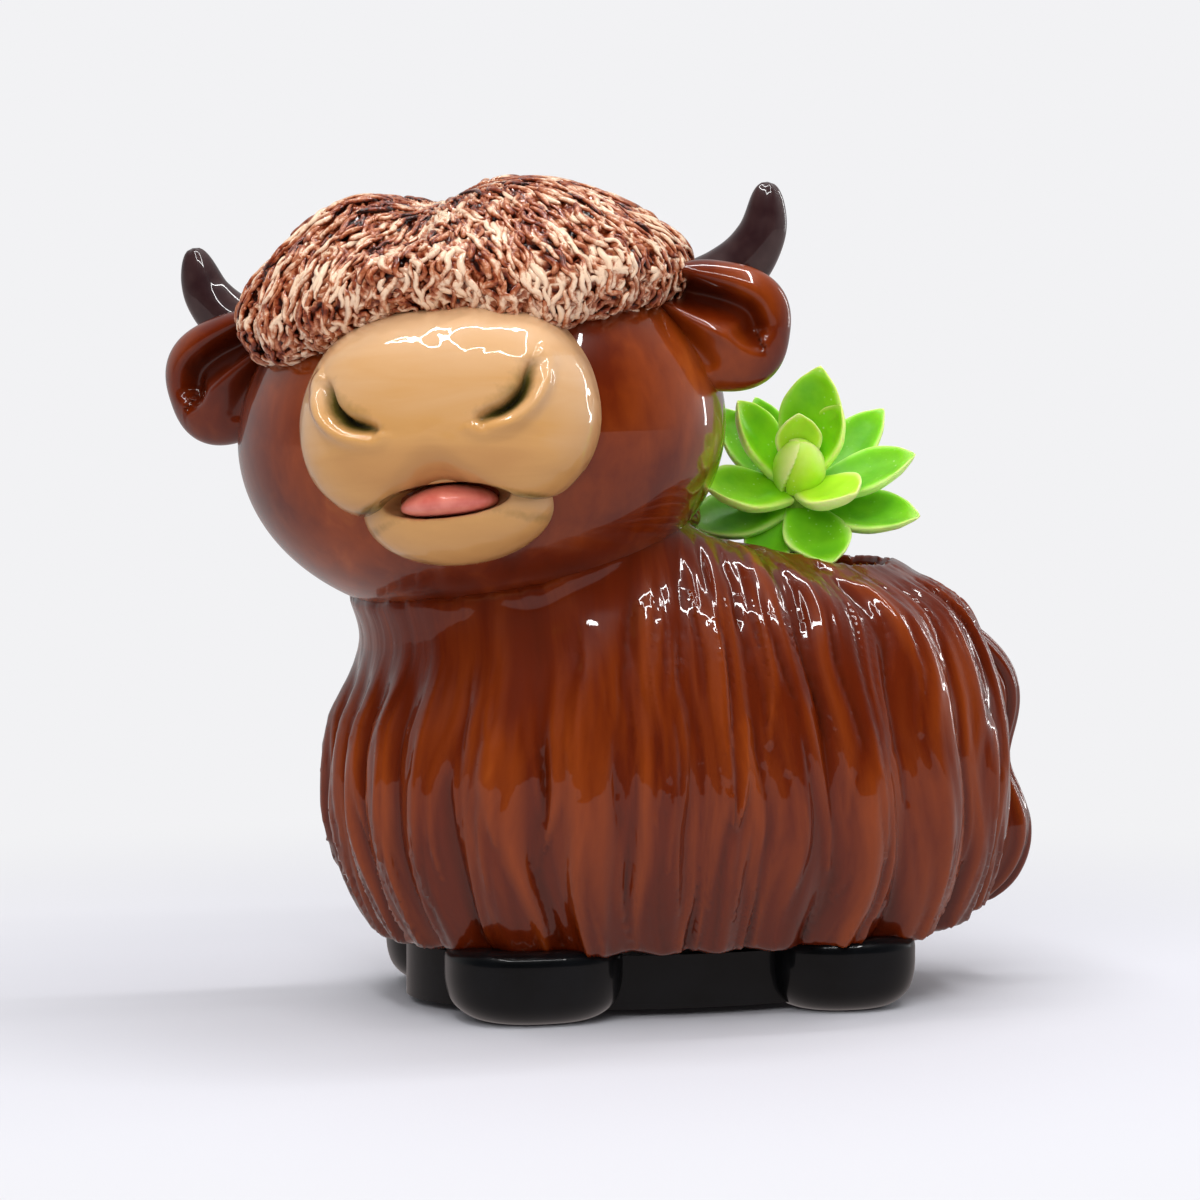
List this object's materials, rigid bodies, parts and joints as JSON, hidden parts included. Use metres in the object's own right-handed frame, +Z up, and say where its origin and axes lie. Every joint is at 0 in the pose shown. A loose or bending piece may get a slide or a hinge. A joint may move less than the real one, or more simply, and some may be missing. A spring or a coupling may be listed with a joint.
{
  "type": "animal planter",
  "caption": "Glazed ceramic cow planter with a hair fringe, horns and a succulent growing from the open well in its back.",
  "frame": {"origin": "middle of the footprint's bounding box, on the surface that the planter stands on", "axes": "+Z up, -Y the way the cow's torso faces, +X the cow's left side, towards which its head is turned"},
  "size_m": [0.1092, 0.1748, 0.1648],
  "materials": {
    "coat_glaze": "gloss",
    "muzzle_glaze": "gloss",
    "tongue_glaze": "gloss",
    "fringe_glaze": "satin",
    "horn_glaze": "gloss",
    "hoof_glaze": "gloss",
    "screen_plastic": "matte",
    "potting_soil": "matte",
    "leaf_green": "satin",
    "stem_green": "satin"
  },
  "bodies": {
    "planter": {"base_plinth": "hoof_glaze", "chin": "muzzle_glaze", "drain_screen": "screen_plastic", "ear_left": "coat_glaze", "ear_right": "coat_glaze", "fringe": "fringe_glaze", "head_shell": "coat_glaze", "hoof_front_left": "hoof_glaze", "hoof_front_right": "hoof_glaze", "hoof_rear_left": "hoof_glaze", "hoof_rear_right": "hoof_glaze", "horn_left": "horn_glaze", "horn_right": "horn_glaze", "muzzle": "muzzle_glaze", "potting_mix": "potting_soil", "tail": "coat_glaze", "tongue": "tongue_glaze", "torso_shell": "coat_glaze"},
    "plant": {"root_plug": "potting_soil", "stem": "stem_green", "heart_bud": "leaf_green", "leaf_inner_1": "leaf_green", "leaf_inner_2": "leaf_green", "leaf_middle_1": "leaf_green", "leaf_middle_2": "leaf_green", "leaf_middle_3": "leaf_green", "leaf_middle_4": "leaf_green", "leaf_outer_1": "leaf_green", "leaf_outer_2": "leaf_green", "leaf_outer_3": "leaf_green", "leaf_outer_4": "leaf_green", "leaf_outer_5": "leaf_green", "leaf_outer_6": "leaf_green", "leaf_outer_7": "leaf_green", "leaf_outer_8": "leaf_green"}
  },
  "joints": [
    {"name": "plant_lift", "type": "slide", "parent": "planter", "child": "plant", "axis": [0, 0.4226, 0.9063], "range_m": [0, 0.07]}
  ]
}
